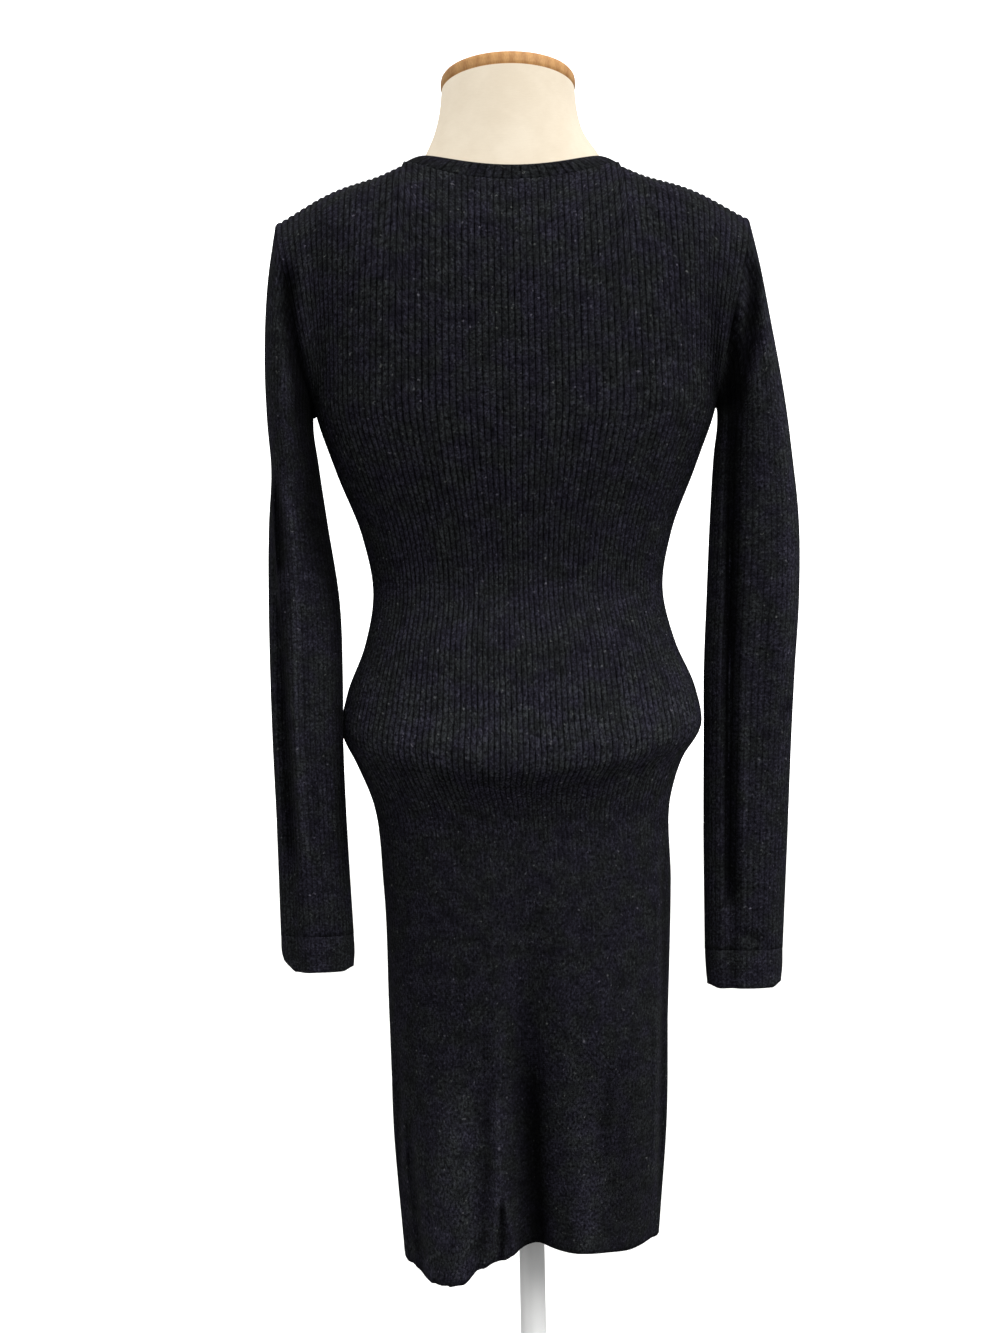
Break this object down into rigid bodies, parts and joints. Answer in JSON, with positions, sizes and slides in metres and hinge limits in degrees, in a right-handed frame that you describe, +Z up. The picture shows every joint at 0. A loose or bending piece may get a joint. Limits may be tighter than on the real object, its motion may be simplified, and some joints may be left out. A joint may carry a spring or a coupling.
{
  "type": "sweater dress on a limbless dress form with a stand",
  "caption": "Fitted long-sleeved rib-knit sweater dress worn on a limbless linen dress form with a wooden neck cap and a round stand",
  "frame": {"origin": "centre of the underside of the stand's base, on the floor", "axes": "+Z up, the back of the dress faces -Y, the wearer's left is -X"},
  "size_m": [0.4605, 0.38, 1.4722],
  "materials": {
    "rib_knit": "charcoal melange rib knit, matt with a short nap",
    "form_linen": "cream linen, plain weave",
    "cap_wood": "satin varnish",
    "stand_enamel": "smooth off-white enamel"
  },
  "bodies": {
    "root": {"back_panel": "rib_knit", "front_panel": "rib_knit", "sleeve_left": "rib_knit", "sleeve_right": "rib_knit", "cuff_left": "rib_knit", "cuff_right": "rib_knit", "neckband": "rib_knit", "form_torso": "form_linen", "neck_cap": "cap_wood", "stand_pole": "stand_enamel", "stand_base": "stand_enamel"}
  },
  "joints": []
}
